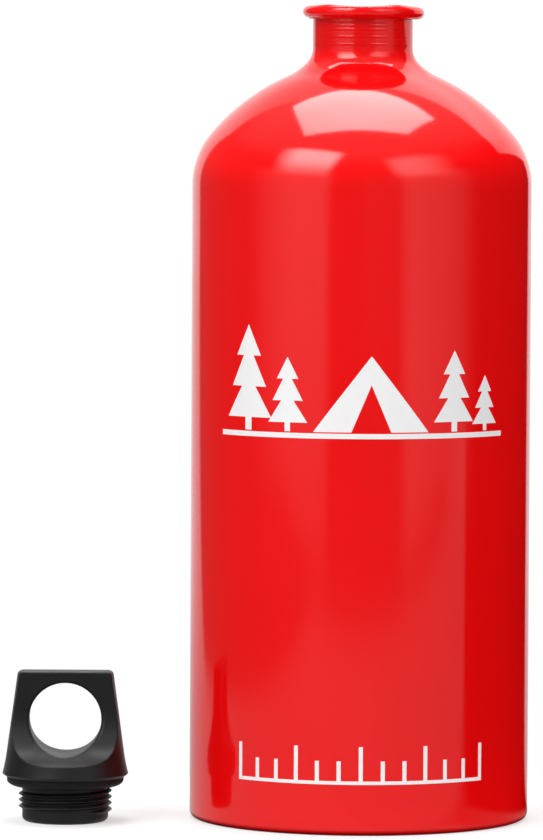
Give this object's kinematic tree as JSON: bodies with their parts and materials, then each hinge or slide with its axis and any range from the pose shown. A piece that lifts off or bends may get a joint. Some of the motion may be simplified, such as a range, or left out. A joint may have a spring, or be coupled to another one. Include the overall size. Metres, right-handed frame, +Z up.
{
  "type": "camping fuel bottle",
  "caption": "Tall drawn metal fuel bottle with a domed shoulder, narrow threaded neck and rolled rim, with its finger-loop screw stopper and seal standing beside it.",
  "frame": {"origin": "on the floor, at the middle of the bottle's foot ring", "axes": "+Z up the bottle's axis, +X to the right as pictured, +Y to the back; the stopper stands at -X"},
  "size_m": [0.1549, 0.1, 0.2401],
  "materials": {
    "red_lacquered_aluminium": "gloss",
    "black_moulded_plastic": "satin",
    "black_rubber": "matte"
  },
  "bodies": {
    "bottle": {"bottle_shell": "red_lacquered_aluminium"},
    "seal": {"stopper_seal": "black_rubber"},
    "stopper": {"screw_stopper": "black_moulded_plastic"}
  },
  "joints": [
    {"name": "stopper_lift", "type": "slide", "parent": "bottle", "child": "seal", "axis": [0, 0, 1], "range_m": [0, 0.26]},
    {"name": "stopper_turn", "type": "hinge", "parent": "seal", "child": "stopper", "pos_m": [-0.0864, -0.014, 0.0132], "axis": [0, 0, 1], "continuous": true}
  ]
}
